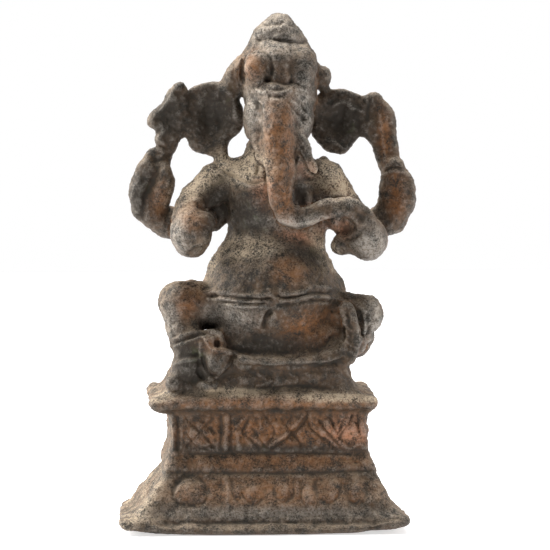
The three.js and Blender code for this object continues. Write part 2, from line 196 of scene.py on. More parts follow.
# %% [markdown]
# ## From facets to a cast form
#
# The solid is made of flat facets a few millimetres wide. Plain smoothing would hide them but would also eat
# the thin tusks and ears. So the directions of the faces are averaged first, over a millimetre or so, and then
# the points are moved until the faces look in those directions. Rounds stay as thick as they were.

# %% Round the facets
TURN_ROUNDS = 26
FOLLOW_ROUNDS = 30


def round_facets(skin):
    facing = skin.face_normals()
    for _ in range(TURN_ROUNDS):
        at_points = skin.to_points(facing[skin.corner_face])
        facing = unit(skin.to_faces(at_points[skin.corner_point]))
    target = facing[skin.corner_face]
    for _ in range(FOLLOW_ROUNDS):
        centres = skin.to_faces(skin.points[skin.corner_point])
        offset = centres[skin.corner_face] - skin.points[skin.corner_point]
        along = (offset * target).sum(axis=1, keepdims=True) * target
        skin.points += skin.to_points(along)
    skin.points = skin.blurred(skin.points, 1)


before = skin.points.copy()
round_facets(skin)
print(f"Rounding moved the skin by at most {np.abs(skin.points - before).max():.2f} mm")

# %% [markdown]
# ## Chasing
#
# A chaser works on the cast with small punches. A line is a groove where its height is below zero and a ridge
# where it is above, and a dab is an oval swelling or hollow. Both reach only what can be seen from their view,
# and fade out where the surface turns away.

# %% Chasing tools
LINE_STEPS = 6
HIDDEN_CELL = 0.6
HIDDEN_SLACK = 2.0
FACING_EDGE = 0.35


def smooth_line(points):
    """A curve through the given points."""
    if len(points) < 3:
        return points
    padded = np.vstack([2 * points[0] - points[1], points, 2 * points[-1] - points[-2]])
    steps = np.linspace(0, 1, LINE_STEPS, endpoint=False)[:, None]
    spans = []
    for a, b, c, d in zip(padded, padded[1:], padded[2:], padded[3:]):
        curve = 2 * b + (c - a) * steps + (2 * a - 5 * b + 4 * c - d) * steps**2
        spans.append((curve + (3 * b - a - 3 * c + d) * steps**3) / 2)
    return np.vstack([*spans, points[-1:]])


def distance_to(line, spots):
    nearest = np.full(len(spots), np.inf)
    for start, end in zip(line, line[1:]):
        along = end - start
        share = np.clip((spots - start) @ along / max(along @ along, 1e-9), 0, 1)
        nearest = np.minimum(nearest, np.linalg.norm(spots - start - share[:, None] * along, axis=1))
    return nearest


def reach(view, skin, normals):
    """How far a tool held in this view reaches each point, from 0 to 1."""
    flat, nearness = view.flat(skin.points), view.nearness(skin.points)
    cell = ((flat - flat.min(axis=0)) / HIDDEN_CELL).astype(int)
    front = np.full(cell.max(axis=0) + 1, -np.inf)
    np.maximum.at(front, tuple(cell.T), nearness)
    seen = nearness > front[tuple(cell.T)] - HIDDEN_SLACK
    return seen * np.clip(normals @ view.back / FACING_EDGE, 0, 1)


def chase(skin, view, lines=(), dabs=()):
    """Lines are (width, height, points). Dabs are (centre, half sizes, turn in degrees, height)."""
    normals = skin.normals()
    flat, held = view.flat(skin.points), reach(view, skin, normals)
    change = np.zeros(len(flat))
    for width, height, points in lines:
        route = smooth_line(view.layout(points))
        margin = 3 * width
        inside = (flat > route.min(axis=0) - margin) & (flat < route.max(axis=0) + margin)
        near = np.flatnonzero(inside.all(axis=1) & (held > 0))
        change[near] += height * np.exp(-((distance_to(route, flat[near]) / width) ** 2))
    for centre, half, turn, height in dabs:
        a = math.radians(turn)
        offset = (flat - view.layout(centre)) @ np.array([[math.cos(a), -math.sin(a)], [math.sin(a), math.cos(a)]])
        change += height * np.exp(-((offset / (np.array(half) * np.abs(view.unit))) ** 2).sum(axis=1) ** 1.5)
    skin.points += normals * (change * held)[:, None]
    print(f"  {len(lines)} lines and {len(dabs)} dabs, up to {change.max():.2f} mm out and {-change.min():.2f} in")


# %% [markdown]
# ## The head
#
# The crown is three stacked rings under a knob. Two swellings stand on the brow, creases cross the root of the
# trunk, and the eye on the right is a pair of slits. All coordinates are pixels of the picture, across and down.

# %% Crown and face
CROWN_LINES = [
    (0.32, -0.34, [(264, 24.6), (273, 23.7), (281, 23.7)]),
    (0.30, -0.28, [(289, 25.2), (297, 25.8)]),
    (0.36, -0.55, [(258, 39.6), (265, 38.6), (272, 38.6), (280, 39.6), (288, 40.8), (297, 41.3), (305, 42.6)]),
    (0.28, -0.25, [(295, 50.2), (299, 48.2), (303.5, 47.2)]),
]
BROW_LINES = [
    (0.36, -0.5, [(253, 51.8), (259, 51.2), (264, 52), (268.5, 55), (271.5, 61), (272.5, 69), (271, 75), (266, 80.5)]),
    (0.36, -0.35, [(266, 80.5), (259, 86.5)]),
    (0.35, -0.3, [(245, 58), (242.5, 66), (242, 76), (245, 84)]),
    (0.3, 0.3, [(250, 54), (243, 58.5), (239.5, 66), (239, 76), (241, 84)]),
    (0.25, 0.2, [(236.5, 66), (236, 76), (238, 86)]),
    (0.6, -0.75, [(268, 79.5), (275, 80.6), (282, 81.5), (288, 83.2), (292, 81)]),
    (0.35, -0.4, [(293, 82), (298, 84), (303, 86.5)]),
    (0.5, -0.25, [(290, 58), (291, 68), (292, 78)]),
    (0.8, 0.25, [(303.5, 52), (305.5, 62), (305.5, 74), (304, 88)]),
]
TRUNK_ROOT_LINES = [
    (0.3, -0.32, [(265, 86), (272, 89), (280, 89.8), (288, 88.4)]),
    (0.3, -0.32, [(269, 95), (276, 96.3), (283.5, 94.6)]),
    (0.45, 0.3, [(258, 91.5), (266, 92.3), (274, 93), (282, 92.6), (289, 91)]),
    (0.25, 0.28, [(254, 98.8), (259.5, 102.6), (263, 107), (264, 112)]),
    (0.4, -0.35, [(250, 96), (256, 102), (260, 110), (261, 118)]),
    (0.32, -0.55, [(292.5, 106.5), (296, 111.5), (300, 115.5), (304.5, 118.8)]),
    (0.25, -0.35, [(301.5, 105.5), (303.5, 108), (305.5, 111)]),
    (0.3, 0.25, [(291, 101), (297, 105.5), (303, 112)]),
    (0.7, 0.3, [(296, 92), (298, 101), (299, 112), (300, 124), (303, 134)]),
]
print("Head:")
chase(skin, FRONT, CROWN_LINES + BROW_LINES + TRUNK_ROOT_LINES)

# %% [markdown]
# ## Trunk, tusks and ears
#
# The trunk has a flat front between two raised edges. It swings to the figure's left and ends in the hand there.
# One tusk is whole and the other is a broken stub. The ears are dished, with a rolled rim.

# %% Trunk, tusks and ears
TRUNK_TOP_EDGE = [(297, 146), (298, 158), (294.5, 171), (291, 186), (289.8, 196), (292, 205), (297, 209.5)]
TRUNK_SWING_TOP = [(297, 209.5), (312, 203.5), (325.5, 199), (338, 196.8), (351, 199), (361, 205.5), (371.4, 213)]
TRUNK_SWING_LOW = [(270.6, 200.4), (274.7, 211.6), (281.8, 221), (292, 226.5), (303, 226), (313, 222), (326, 217)]
TRUNK_LOW_END = [(326, 217), (337, 213), (348, 214.4), (355.5, 221), (358, 229)]
TRUNK_LINES = [
    (0.35, 0.3, TRUNK_TOP_EDGE),
    (0.4, 0.3, TRUNK_SWING_TOP),
    (0.5, 0.25, TRUNK_SWING_LOW),
    (0.4, 0.25, TRUNK_LOW_END),
    (0.7, -0.4, [(300, 217), (312.5, 212), (325.5, 207), (338, 205.2), (351, 207.8), (361, 216.5)]),
    (0.3, 0.35, [(251.5, 152.5), (257.5, 158.6), (263.5, 161.8), (267.5, 168), (268.6, 174)]),
    (0.3, 0.3, [(255.5, 147.5), (261.5, 153.5), (263.5, 159.5)]),
    (0.3, -0.3, [(253, 149), (258, 155), (262, 159)]),
    (0.4, 0.3, [(299, 134), (305.5, 141.5), (312.5, 153.5), (318.5, 162), (319.5, 168.5)]),
    (0.5, -0.3, [(303, 147), (309, 158), (315, 168)]),
    (0.25, 0.2, [(300, 148), (305, 158), (309.5, 166.5), (315, 172)]),
]
EAR_LINES = [
    (0.5, 0.4, [(189, 92), (200, 86.5), (210.5, 84.8), (220.5, 86.5), (228.5, 92.5), (234, 102), (235.5, 116)]),
    (0.3, 0.3, [(239.4, 92.4), (234.8, 97.5)]),
    (0.35, 0.35, [(334, 90.5), (343.5, 92), (355, 95.8), (364, 97.5), (368, 103)]),
    (0.35, 0.4, [(334.4, 103.8), (344.6, 102.5), (354.8, 108.3), (361.2, 110.8)]),
    (0.35, 0.45, [(325.5, 138.9), (334.4, 142.7), (343.4, 147.8), (347.2, 146.5)]),
    (0.4, -0.35, [(369.5, 101), (367.6, 111), (367.6, 121)]),
]
print("Trunk, tusks and ears:")
chase(skin, FRONT, TRUNK_LINES + EAR_LINES)

# %% [markdown]
# ## Chest and arms
#
# A necklace crosses the chest, with a stud by the broken tusk. Deep shadowed hollows part the arms from the
# body. The raised hands hold an axe and a looped cord, and worn ridges stand for fingers and bracelets.

# %% Chest and arms
CHEST_LINES = [
    (0.35, -0.42, [(218, 166), (224, 170), (233, 175), (241, 180), (251, 182.8), (262, 181.5)]),
    (0.4, 0.32, [(220, 161.5), (230, 167.5), (240, 174), (250, 178.5), (262, 178)]),
    (0.4, 0.38, [(221, 170.5), (230, 176.5), (240, 182.5), (250, 187), (262, 187.5)]),
    (0.25, -0.4, [(257.5, 164), (258.5, 169), (256.5, 173.5)]),
    (0.3, 0.3, [(303, 168.5), (308, 174), (312, 177)]),
    (0.5, -0.35, [(295, 181.5), (307, 180), (322, 179)]),
    (1.2, -1.0, [(224, 178), (217, 186), (211, 197), (210, 208), (216, 214)]),
]
CHEST_DABS = [
    ((253.3, 168.3), (4, 4.5), 0, 0.45),
    ((299, 197), (7, 10), 0, -0.8),
    ((344.6, 226.9), (6, 8), 15, -0.9),
]
ARM_LINES = [
    (0.25, 0.3, [(204, 206), (208.5, 211.5), (210, 215)]),
    (0.25, 0.3, [(206, 214), (212, 219)]),
    (0.5, -0.5, [(190, 252), (197, 248.8), (206, 247.8)]),
    (0.3, 0.25, [(200.3, 224.9), (207.2, 226.1)]),
    (0.7, -0.7, [(156, 161), (157, 172), (152, 182.5), (145.5, 196), (141.5, 215)]),
    (0.3, 0.3, [(134.9, 173.3), (140.7, 180.2), (137.2, 184.8), (132, 196)]),
    (0.35, 0.35, [(162.5, 169.8), (169, 178), (167, 186)]),
    (0.3, 0.35, [(151, 150.3), (157.9, 149.2), (163.6, 152.6), (157.9, 157.2)]),
    (0.3, 0.3, [(160.2, 124), (163.6, 129.7), (159, 138.9), (163, 142)]),
    (0.35, 0.25, [(182, 84), (175.5, 89), (171, 97), (163.5, 107), (155, 115.5), (152, 122)]),
    (0.35, 0.35, [(379, 114), (381.5, 133), (384, 149), (385.5, 160)]),
    (0.3, 0.3, [(380.4, 178.4), (389.3, 172), (399.5, 170.8), (408.4, 176)]),
    (0.3, -0.3, [(382, 174), (389.5, 168.5), (400, 167.5)]),
    (0.3, 0.3, [(381.6, 175.9), (386.7, 168.2), (391.8, 161.8)]),
    (0.5, 0.3, [(411.5, 181), (413, 197.6), (413, 210)]),
    (0.35, -0.5, [(347.2, 239.6), (354.8, 235.8), (358.7, 234.5)]),
]
ARM_DABS = [
    ((195, 200), (5, 2.6), -5, 0.35),
    ((173.5, 98), (3.5, 4.5), 0, 0.35),
    ((376.5, 135), (2.5, 2), 0, 0.3),
    ((394.4, 197.6), (8, 14), 0, -0.45),
]
print("Chest and arms:")
chase(skin, FRONT, CHEST_LINES + ARM_LINES, CHEST_DABS + ARM_DABS)

# %% [markdown]
# ## Belly, sash and legs
#
# Two cords tie the waist and a slot marks the navel. The end of the sash hangs over the figure's left thigh,
# hatched inside a raised border. The right foot rests on a small crouching rat, and both are badly worn.

# %% Belly, sash and legs
BELLY_LINES = [
    (0.35, 0.35, [(206, 293.2), (214.6, 292.4), (223, 292.4), (239.5, 294.9), (256, 295.7), (269, 295.7)]),
    (0.28, -0.5, [(211, 296.5), (224.6, 295.9), (239.5, 298.2), (256, 299), (270, 298.2)]),
    (0.3, 0.3, [(208, 299), (223, 299.2), (239.5, 301.1), (260, 301.6)]),
    (0.28, -0.5, [(220, 302), (229, 303), (239.5, 303.8), (256, 304.2), (264, 303.4)]),
    (0.3, 0.3, [(229, 306), (239.5, 306.8), (257, 306)]),
    (0.35, 0.35, [(281, 293.5), (290.7, 294), (303.2, 291.6), (311.5, 286.8), (320, 286.6), (330, 289)]),
    (0.3, -0.5, [(279, 295.5), (283.5, 298), (290, 297.6), (300, 296.3), (312, 293), (329, 293.5)]),
    (0.35, 0.35, [(280, 301.5), (290.7, 300), (303.2, 297.4), (316.4, 296.4), (331.4, 298.2)]),
    (0.3, -0.5, [(279, 304.8), (288.2, 304.8), (299, 303.6), (311.5, 301.1), (329, 301.4)]),
    (0.3, 0.3, [(281, 272), (283.5, 279), (282.5, 286), (279.5, 291.5), (281, 296)]),
    (0.3, 0.28, [(268, 289), (271, 295), (276, 299)]),
    (0.45, -0.9, [(268.8, 313), (265.5, 319), (263.6, 326.5)]),
    (0.45, -0.6, [(271, 312), (268, 319), (265.5, 325.5)]),
    (0.6, -0.6, [(218, 342), (239.3, 349.6), (261.6, 354), (286, 355), (309.5, 353.5), (325, 345), (333, 336)]),
]
SASH_LINES = [
    (0.35, 0.45, [(339, 306.5), (344.6, 304.4), (350.8, 306), (353.5, 311), (355.2, 320), (357.5, 329)]),
    (0.35, 0.45, [(357.5, 329), (357.7, 338), (355.8, 350), (353, 357.9), (348.5, 363)]),
    (0.3, 0.28, [(341.3, 309), (343.8, 316.4), (344.8, 321.4), (343, 327), (343, 340.5), (344, 345)]),
    (0.5, -0.4, [(348, 311), (349.5, 322), (350.5, 336), (349, 348)]),
    (0.22, 0.2, [(346, 324), (351, 331)]),
    (0.22, 0.2, [(345, 331), (351.5, 339)]),
    (0.22, 0.2, [(345, 339), (351, 346)]),
    (0.3, 0.3, [(342.1, 349.6), (349.6, 348.8), (352.9, 352.9)]),
    (0.3, 0.32, [(360.4, 309), (363.7, 316.4), (364.3, 326.4), (362.3, 336.3), (360.4, 342.1)]),
    (0.3, -0.4, [(358.8, 311), (360.8, 321.4), (360, 333)]),
    (0.3, -0.35, [(366.5, 314), (368.3, 325), (366, 337)]),
    (0.3, 0.3, [(347.9, 296.5), (352.9, 303), (361.2, 307.6), (366, 311.5)]),
    (0.35, 0.35, [(333.8, 298.2), (342.1, 300.7), (351.3, 303.2)]),
    (0.3, 0.3, [(366, 342), (374.5, 338.6), (378, 336)]),
    (0.45, -0.4, [(364, 345), (372, 343), (378, 339)]),
]
LEG_LINES = [
    (0.35, 0.35, [(240, 358.5), (255, 362), (270, 364), (287, 362.4), (311.5, 361.8), (328, 360.2), (341, 357.6)]),
    (0.45, -0.6, [(238, 364), (255, 366.6), (272, 368), (290, 366.8), (315.6, 366), (330, 364), (343, 360.8)]),
    (0.25, 0.4, [(174.8, 346.3), (186.4, 342.1), (198, 338), (207.2, 335.5)]),
    (0.25, 0.3, [(176.5, 338.6), (189.8, 333), (203, 330.6)]),
    (0.35, -0.5, [(177.5, 342.3), (191.4, 337), (205, 333)]),
    (0.28, 0.4, [(174.8, 364.5), (185.6, 361.2), (198, 359.6), (200.8, 355.5)]),
    (0.4, -0.35, [(173.2, 360), (185.6, 356.1), (198, 354.6)]),
    (0.22, 0.3, [(164.9, 324.7), (169.9, 333), (175.7, 340.5)]),
    (0.3, 0.4, [(205, 338), (211.3, 349.2), (216.3, 350.6), (226, 352.1), (236, 354)]),
    (0.3, 0.3, [(201, 343), (200.3, 354), (202.5, 367), (209.5, 377.5)]),
    (0.3, 0.3, [(211.5, 378), (217, 376.5), (230, 361.5), (236.5, 355.5)]),
    (0.7, -1.1, [(207, 329.5), (214, 332), (218.5, 336), (217.5, 344)]),
    (0.45, -0.5, [(235, 356), (239, 362)]),
    (0.4, -0.45, [(199, 372), (205, 381), (214, 382)]),
]
LEG_DABS = [
    ((214, 362), (9, 8), 0, 0.35),
    ((171.8, 384.5), (6, 6), 0, 0.35),
    ((203, 387), (8, 5), 0, 0.5),
    ((189, 386), (5, 4), 0, 0.3),
    ((250, 379), (10, 5), 8, 0.35),
    ((282, 380), (12, 6), 0, 0.3),
    ((312, 378), (10, 5), -6, 0.25),
]
SEAT_LINES = [
    (0.22, 0.25, [(169, 381.5), (172.3, 385.3), (175.7, 382)]),
    (0.3, 0.25, [(197.5, 385.5), (203, 382.7), (209.5, 385.5)]),
    (0.35, 0.3, [(344.6, 371), (352, 381), (360, 387)]),
    (0.35, -0.3, [(240, 388), (262, 388.5), (285, 386), (305, 386.5), (330, 389)]),
    (0.3, 0.25, [(258, 374), (266, 380), (262, 386)]),
    (0.3, -0.3, [(268, 373), (274, 380), (270, 386)]),
    (0.3, 0.25, [(290, 373), (297, 379), (294, 385)]),
]
print("Belly, sash and legs:")
chase(skin, FRONT, BELLY_LINES + SASH_LINES)
chase(skin, FRONT, LEG_LINES + SEAT_LINES, LEG_DABS)

# %% [markdown]
# ## The pedestal
#
# The dado carries a cut pattern of a lozenge, upright bars, crossed strokes and a fan of wedges. On the sloping
# foot a medallion is followed by a row of tongues in loops. Below come a rounded band and a thin slab.

# %% Pedestal relief
DADO_LINES = [
    (0.35, 0.3, [(173, 416), (173.5, 450)]),
    (0.25, -0.3, [(177.8, 417), (178.3, 450)]),
    (0.28, 0.22, [(181.5, 418), (181.5, 448)]),
    (0.3, -0.4, [(186, 419), (196, 428.5), (206, 438), (214, 447)]),
    (0.3, -0.4, [(213, 419), (203, 428.5), (193, 440), (187, 447)]),
    (0.3, -0.35, [(186, 433), (198, 448), (211, 446)]),
    (0.3, -0.3, [(199, 418), (214, 432)]),
    (0.4, 0.35, [(226, 417), (226, 450)]),
    (0.3, -0.35, [(221, 417), (221, 450)]),
    (0.3, -0.4, [(231, 417), (231, 450)]),
    (0.35, 0.3, [(244, 418), (236.5, 426)]),
    (0.35, 0.3, [(237, 433), (239, 449)]),
    (0.3, -0.4, [(249, 419), (243, 432), (251, 440), (259, 448)]),
    (0.3, -0.35, [(252, 427), (260, 440), (267, 448)]),
    (0.35, 0.3, [(259.5, 417), (261, 429)]),
    (0.3, -0.35, [(266, 418), (274, 432), (268, 445)]),
    (0.35, 0.28, [(265, 448), (281.7, 437), (296.3, 423.6), (302, 417)]),
    (0.3, -0.35, [(272, 448.5), (287, 438.5), (301, 426), (307, 418)]),
    (0.3, -0.3, [(281, 420), (290, 430), (302, 445)]),
    (0.3, -0.35, [(307.4, 414.6), (310.5, 428), (327.5, 441.4), (336, 448)]),
    (0.3, -0.4, [(319, 420), (327, 432), (337, 442)]),
    (0.28, -0.4, [(330, 418), (338, 432), (345, 417)]),
    (0.28, -0.4, [(340, 438), (348, 424), (352, 416)]),
    (0.28, -0.4, [(357.5, 416), (359, 432)]),
    (0.35, 0.35, [(340, 442.5), (350, 447.8), (359, 444), (364, 448)]),
]
DADO_DABS = [
    ((193.2, 431), (3, 3.5), 0, 0.35),
    ((207, 425), (3, 3), 0, 0.3),
    ((247, 437), (4, 4), 0, 0.2),
    ((327.5, 422.5), (3, 4), 0, 0.35),
    ((335.3, 430.5), (3, 5), -20, 0.35),
    ((343, 418.5), (3.2, 4.5), 0, 0.35),
    ((351.5, 425.5), (3.2, 9), 22, 0.4),
    ((363, 429), (2, 8), 15, 0.3),
]
LOOP_LINES = [
    (0.4, -0.3, [(275, 481), (275.5, 495), (284, 502.5), (293, 495), (293.5, 480.5)]),
    (0.4, -0.32, [(315.2, 481), (317.5, 495), (328, 504), (338.5, 496), (341, 483)]),
    (0.4, -0.3, [(345, 484), (348.7, 500), (357.6, 504), (366, 500), (366, 486)]),
    (0.3, -0.25, [(300, 482), (301.5, 496), (306, 508)]),
    (0.3, -0.25, [(232, 481), (233, 494), (239, 505)]),
    (0.3, -0.25, [(240, 484), (244, 497), (254, 506), (262, 499)]),
]
FOOT_LINES = [
    (0.4, -0.35, [(172.5, 494), (177, 481.5), (188, 476.8), (201.5, 480), (207.5, 491), (203.8, 502.5), (190, 505.5)]),
    (0.3, -0.25, [(190, 505.5), (177, 503), (172.5, 494)]),
    (0.25, 0.2, [(176, 493), (180.5, 485), (188, 480)]),
    (0.45, 0.35, [(226, 481), (228, 493), (227.2, 505)]),
    (0.45, -0.4, [(160, 472.4), (199.3, 473.4), (233, 472.8), (275, 473.4), (320, 472.6), (371, 471)]),
    (0.4, -0.3, [(167, 412), (188, 412.6), (221.6, 411.9), (275, 411.6), (330, 411.6), (366, 412)]),
    (0.4, -0.35, [(152, 524.5), (175, 523.6), (200, 522.8), (275, 522.4), (350, 523), (385, 520.5), (398, 518)]),
    (0.3, -0.3, [(190, 454), (240, 453.2), (300, 453.2), (350, 454)]),
]
FOOT_DABS = [
    ((189.5, 491.5), (11, 10), 0, 0.3),
    ((251, 492), (4, 8), -20, 0.3),
    ((271, 498), (4, 7), 0, 0.35),
    ((284.5, 489), (4, 8), 0, 0.4),
    ((308.5, 496), (5, 10), 0, 0.4),
    ((331.5, 491), (4, 9), 0, 0.4),
    ((355.4, 491), (4, 8), 0, 0.35),
]
print("Pedestal:")
chase(skin, FRONT, DADO_LINES + LOOP_LINES + FOOT_LINES, DADO_DABS + FOOT_DABS)

# %% [markdown]
# ## Sides and back
#
# Nobody looked at the back for long, and it was left plainer: the crown's rings run on round, the cords of the
# waist too, a thread crosses the back from the left shoulder, and the sides of the foot show file strokes.

# %% Sides and back
BACK_LINES = [
    (0.4, -0.4, [(-7, 94.2), (-2, 94.6), (4, 94.2)]),
    (0.35, -0.35, [(-5.5, 97.3), (-1.5, 97.6), (2, 97.2)]),
    (0.5, -0.5, [(-9, 87.5), (-2, 86.4), (6, 87.5)]),
    (0.5, 0.4, [(-10, 70), (-5, 63), (1, 56), (8, 49.5)]),
    (0.35, -0.3, [(-8.9, 70.6), (-3.9, 63.6), (2.1, 56.6), (9.1, 50.1)]),
    (0.4, 0.4, [(-14, 46), (-7, 45.4), (0, 45.2), (7, 45.4), (14, 46)]),
    (0.4, 0.35, [(-14, 44.2), (-7, 43.6), (0, 43.4), (7, 43.6), (14, 44.2)]),
    (0.7, -0.6, [(-0.6, 41), (-0.4, 37), (-0.6, 33)]),
    (0.5, -0.5, [(-14, 31.5), (-7, 30.6), (0, 30.4), (7, 30.6), (15, 31.6)]),
    (0.5, -0.3, [(-1, 84), (-1, 76), (-0.6, 71)]),
]
EAR_BACK_LINES = [
    (0.45, 0.3, [(-18, 81.5), (-12.5, 83), (-9, 79), (-10.5, 74.5)]),
    (0.45, 0.3, [(16, 82), (10, 84), (6.5, 80), (8, 74.5)]),
]
SIDE_STROKES = [(0.22, -0.16, [(x, 5.2), (0.62 * x, 10)]) for x in np.linspace(-13.5, 13.5, 22)]
SIDE_LINES = [
    (0.45, -0.4, [(-12.5, 10.6), (0, 10.6), (12.5, 10.6)]),
    (0.35, 0.25, [(-9, 18.6), (9, 18.6)]),
    (0.3, -0.25, [(-9, 17.2), (9, 17.2)]),
    (0.3, -0.25, [(-9, 20), (9, 20)]),
]
print("Sides and back:")
chase(skin, BACK, BACK_LINES + EAR_BACK_LINES)
chase(skin, LEFT_SIDE, SIDE_STROKES + SIDE_LINES)
chase(skin, RIGHT_SIDE, SIDE_STROKES + SIDE_LINES)
chase(skin, BACK, SIDE_LINES + [(0.45, -0.4, [(-19, 10.6), (0, 10.6), (19, 10.6)])])

# %% [markdown]
# ## The cast grain
#
# Wax, clay and fire leave a skin that is never true. Waves of a few lengths, each a sum of many sines in random
# directions, stand for the hand-pressed wax and for the grain of the mould, and where one of them peaks, a pit.

# %% Cast grain
GRAIN = [(6.0, 0.10), (2.6, 0.055), (1.3, 0.035), (0.8, 0.03)]
PIT_LENGTH = 1.1
PIT_LEVEL = 1.9
PIT_DEPTH = 0.22
WAVE_COUNT = 36


def waves(points, length, seed):
    """Random waves of about this length in millimetres. Their spread is 1."""
    random = np.random.default_rng(seed)
    directions = unit(random.normal(size=(WAVE_COUNT, 3)))
    turns = 2 * math.pi / length * random.uniform(0.7, 1.4, WAVE_COUNT)
    phases = random.uniform(0, 2 * math.pi, WAVE_COUNT)
    total = np.zeros(len(points))
    for direction, turn, phase in zip(directions, turns, phases):
        total += np.sin(points @ direction * turn + phase)
    return total / math.sqrt(WAVE_COUNT / 2)


def roughen(skin):
    normals = skin.normals()
    rise = sum(height * waves(skin.points, length, seed) for seed, (length, height) in enumerate(GRAIN))
    pits = np.clip(waves(skin.points, PIT_LENGTH, len(GRAIN)) - PIT_LEVEL, 0, 1)
    above_floor = np.clip(skin.points[:, 2] / 1.5, 0, 1)
    skin.points += normals * ((rise - PIT_DEPTH * pits) * above_floor)[:, None]
    print(f"Pits cover {100 * (pits > 0).mean():.1f}% of the skin")


roughen(skin)

# %% [markdown]
# ## What wear, dust, painted shade and painted light follow
#
# Hollows keep dust and dark wax, and in the broad hollows the darkening is also painted shade. Ridges are rubbed
# bright, dust settles on what faces up, and painted light is laid with the dust on left-facing and lit sides. These
# facts are measured on the skin and stored on its points, where the patina can read them.

# %% Measure the skin
HOLLOW_ROUNDS = {"fine": 6, "broad": 60}


def store(mesh, name, values):
    attribute = mesh.attributes.new(name, "FLOAT", "POINT")
    attribute.data.foreach_set("value", np.clip(values, 0, 1).astype(np.float32))


def measure_hollows(skin):
    normals = skin.normals()
    return {
        name: ((skin.blurred(skin.points, rounds) - skin.points) * normals).sum(axis=1)
        for name, rounds in HOLLOW_ROUNDS.items()
    }


hollows = measure_hollows(skin)
for name, values in hollows.items():
    print(f"{name} hollows: from {values.min():.2f} to {values.max():.2f} mm")

# %% Patches of patina, painted shade, painted light and painted sheen
# Centre and half sizes are pixels of the picture. The last number is the turn in degrees.
WARM_PATCHES = [
    ((279, 150), (17, 55), 0),
    ((285, 205), (14, 22), 0),
    ((310, 330), (26, 18), -20),
    ((290, 270), (16, 14), 0),
    ((275, 402), (110, 6), 0),
    ((275, 460), (100, 9), 0),
    ((396, 195), (10, 20), 0),
    ((191, 295), (12, 22), 20),
    ((195, 215), (14, 14), 0),
    ((340, 190), (16, 10), -30),
    ((215, 345), (16, 8), 0),
    ((250, 66), (12, 14), 0),
    ((384, 135), (6, 26), -5),
    ((156, 200), (10, 18), 20),
    ((275, 492), (95, 14), 0),
    ((275, 432), (95, 16), 0),
]
COPPER_PATCHES = [
    ((326, 229), (16, 9), -25),
    ((300, 240), (20, 8), 10),
    ((262, 190), (10, 16), 0),
    ((344, 228), (8, 10), 0),
    ((347, 432), (20, 14), 0),
    ((306, 172), (10, 9), 0),
]
# Painted shade: black ovals in the ears, between the arms and chest, under the belly and under the dado.
SHADE_PATCHES = [
    ((212, 115), (26, 30), 0),
    ((345, 122), (24, 26), 0),
    ((168, 115), (16, 26), 0),
    ((216, 205), (14, 26), 10),
    ((250, 215), (22, 24), 0),
    ((300, 190), (8, 22), 0),
    ((300, 250), (30, 10), 25),
    ((275, 345), (50, 9), 0),
    ((190, 365), (24, 26), 0),
    ((140, 200), (14, 34), 0),
    ((275, 450), (95, 5), 0),
]
# Tan ovals, partly dust and partly painted light, on the lit shoulders, the belly top and the left sides of the
# pedestal.
DUST_AND_LIGHT_PATCHES = [
    ((205, 175), (34, 14), -35),
    ((243, 168), (26, 16), 0),
    ((244, 246), (34, 10), 0),
    ((338, 178), (24, 18), 30),
    ((210, 260), (8, 24), 25),
    ((345, 398), (50, 4), 0),
    ((230, 392), (30, 4), 0),
    ((155, 395), (14, 6), 0),
    ((135, 490), (18, 40), 25),
    ((325, 250), (10, 22), -30),
]
# Painted sheen: grey highlight bands on the crown, cheek, trunk, belly, knees and the rounded band of the foot.
SHEEN_PATCHES = [
    ((278, 30), (26, 26), 0),
    ((228, 316), (26, 16), 0),
    ((176, 240), (10, 22), 0),
    ((304, 110), (10, 46), 0),
    ((374, 318), (12, 30), 0),
    ((275, 513), (120, 6), 0),
    ((300, 222), (40, 7), 0),
    ((340, 200), (26, 5), 0),
    ((372, 245), (20, 18), 0),
    ((253, 110), (14, 22), 0),
    ((170, 320), (10, 14), 0),
    ((275, 93), (16, 8), 0),
]


def patches(skin, spots, edge=1.6):
    """A mask that is 1 inside the ovals seen from the front, and fades over their edges."""
    flat = FRONT.flat(skin.points)
    held = reach(FRONT, skin, skin.normals())
    mask = np.zeros(len(flat))
    for centre, half, turn in spots:
        a = math.radians(turn)
        offset = (flat - FRONT.layout(centre)) @ np.array([[math.cos(a), math.sin(a)], [-math.sin(a), math.cos(a)]])
        size = ((offset / (np.array(half) * PIXEL)) ** 2).sum(axis=1)
        mask = np.maximum(mask, np.exp(-(size**edge) * 0.7))
    return mask * held


